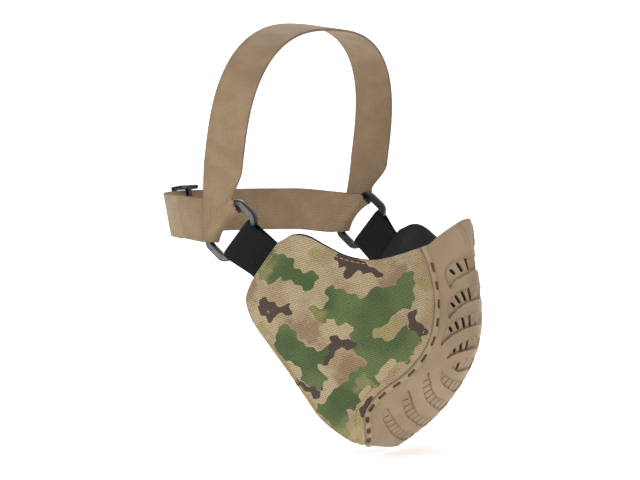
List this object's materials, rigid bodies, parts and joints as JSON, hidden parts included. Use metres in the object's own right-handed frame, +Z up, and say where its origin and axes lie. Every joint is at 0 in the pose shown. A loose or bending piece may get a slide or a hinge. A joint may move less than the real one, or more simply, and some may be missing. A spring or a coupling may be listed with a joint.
{
  "type": "half-face mask",
  "caption": "Half-face mask with a vented moulded front, padded camouflage cloth cheeks, webbing tabs with plastic rings, and an elastic band over the crown and round the nape.",
  "frame": {"origin": "the point midway between the centres of the two strap rings, on the wearer's ear line", "axes": "+X is the wearer's left, -Y is forward out of the face, +Z is up"},
  "size_m": [0.1672, 0.1985, 0.2413],
  "materials": {
    "moulded_rubber": "matt moulded tan rubber with a light sheen",
    "black_mesh": "black knitted mesh",
    "camo_cloth": "printed plain-weave nylon cloth in tan, green and brown blobs",
    "foam_core": "soft closed-cell foam",
    "black_lining": "black brushed lining",
    "gold_thread": "twisted gold-tan sewing thread",
    "black_webbing": "ribbed black nylon webbing",
    "black_thread": "black sewing thread",
    "black_acetal": "glossy moulded black acetal",
    "tan_elastic": "woven tan elastic with fine lengthwise ribs",
    "tan_thread": "tan sewing thread"
  },
  "bodies": {
    "mask": {"front_shell": "moulded_rubber", "front_liner": "black_mesh", "cheek_fabric_right": "camo_cloth", "cheek_fabric_left": "camo_cloth", "cheek_foam_right": "foam_core", "cheek_foam_left": "foam_core", "cheek_lining_right": "black_lining", "cheek_lining_left": "black_lining", "edge_stitching_right": "gold_thread", "edge_stitching_left": "gold_thread", "seam_stitching_right": "gold_thread", "seam_stitching_left": "gold_thread", "webbing_tab_right": "black_webbing", "webbing_tab_left": "black_webbing", "tab_bartack_right": "black_thread", "tab_bartack_left": "black_thread"},
    "right_ring": {"ring_right": "black_acetal", "strap_wrap_right": "tan_elastic"},
    "left_ring": {"ring_left": "black_acetal", "strap_wrap_left": "tan_elastic"},
    "crown_band": {"crown_strap": "tan_elastic"},
    "nape_band": {"nape_strap": "tan_elastic", "strap_tail": "tan_elastic", "tail_bartack": "tan_thread"},
    "band_slider": {"strap_adjuster": "black_acetal"}
  },
  "joints": [
    {"name": "right_ring_hinge", "type": "hinge", "parent": "mask", "child": "right_ring", "pos_m": [-0.074, -0.00643, -0.0054], "axis": [0, -0.6428, 0.766], "range_deg": [-8, 18]},
    {"name": "left_ring_hinge", "type": "hinge", "parent": "mask", "child": "left_ring", "pos_m": [0.074, -0.00643, -0.0054], "axis": [0, 0.6428, -0.766], "range_deg": [-8, 18]},
    {"name": "crown_swing", "type": "hinge", "parent": "mask", "child": "crown_band", "pos_m": [0, 0, 0], "axis": [1, 0, 0], "range_deg": [-18, 18]},
    {"name": "nape_swing", "type": "hinge", "parent": "mask", "child": "nape_band", "pos_m": [0, 0, 0], "axis": [1, 0, 0], "range_deg": [-12, 12]},
    {"name": "slider_travel", "type": "hinge", "parent": "nape_band", "child": "band_slider", "pos_m": [0, 0, 0], "axis": [0, 0, 1], "range_deg": [-10, 10]}
  ]
}
